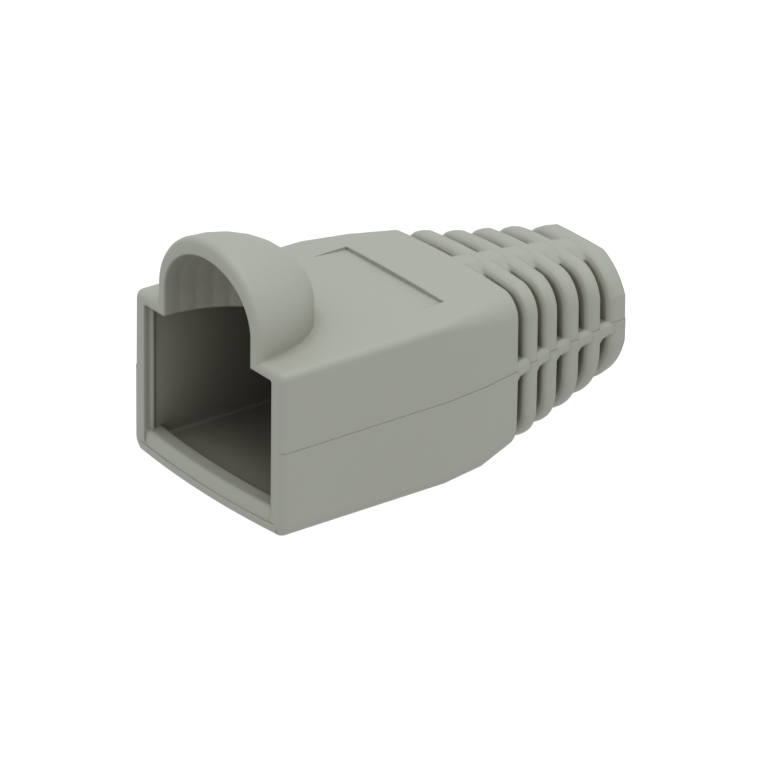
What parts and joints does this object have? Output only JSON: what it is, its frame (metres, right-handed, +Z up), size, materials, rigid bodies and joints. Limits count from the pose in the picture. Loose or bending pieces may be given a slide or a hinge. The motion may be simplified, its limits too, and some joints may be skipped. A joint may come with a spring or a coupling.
{
  "type": "rj45 strain relief boot",
  "caption": "Moulded strain relief boot for a modular RJ45 plug: a rectangular plug pocket under an arched latch hood, tapering through grooved flex ribs to a round cable hole.",
  "frame": {"origin": "on the flat underside, below the middle of the boot's bounding box", "axes": "+X across the boot, +Y along the cable from the plug mouth to the cable end, +Z up towards the latch hood"},
  "size_m": [0.0142, 0.0268, 0.0153],
  "materials": {
    "boot": "satin moulded soft PVC, warm light grey"
  },
  "bodies": {
    "root": {"strain_relief_boot": "boot"}
  },
  "joints": []
}
